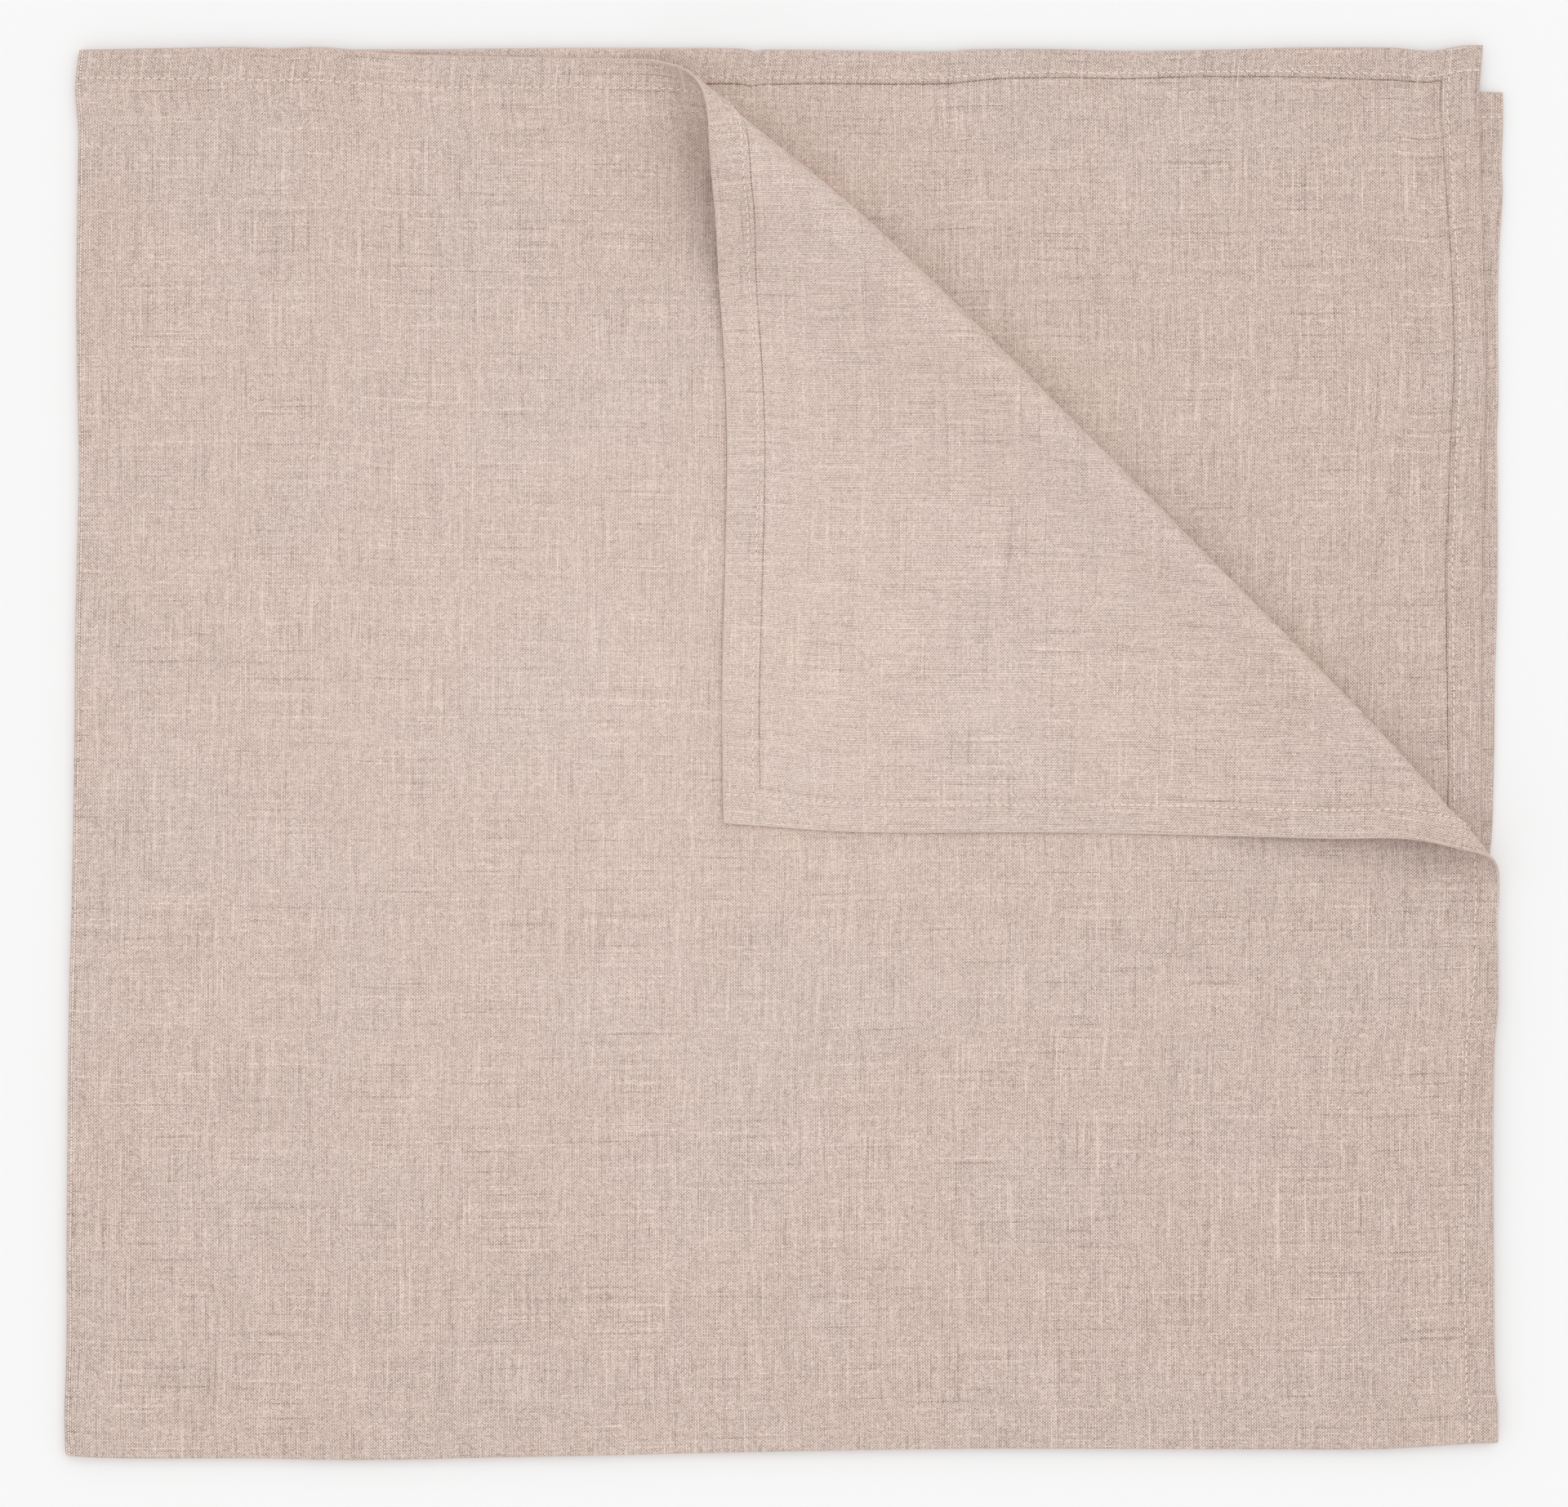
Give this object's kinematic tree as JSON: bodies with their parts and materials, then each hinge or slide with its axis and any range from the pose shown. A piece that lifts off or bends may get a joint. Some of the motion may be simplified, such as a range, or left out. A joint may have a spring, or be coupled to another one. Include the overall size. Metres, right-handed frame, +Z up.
{
  "type": "folded tablecloth",
  "caption": "Plain woven linen tablecloth, folded square and laid flat, with the corner of its top layer turned back over a soft roll.",
  "frame": {"origin": "on the surface the cloth lies on, under the middle of the folded cloth's box", "axes": "+X across the folded cloth from the left fold to the free right edges, +Y from the bottom fold to the free top edges, +Z up"},
  "size_m": [0.733, 0.7208, 0.0404],
  "materials": {
    "linen": "washed plain-weave linen, dusty pink beige, matt, with thick and thin yarns and a tone-on-tone machine-sewn hem"
  },
  "bodies": {
    "root": {"tablecloth": "linen"}
  },
  "joints": []
}
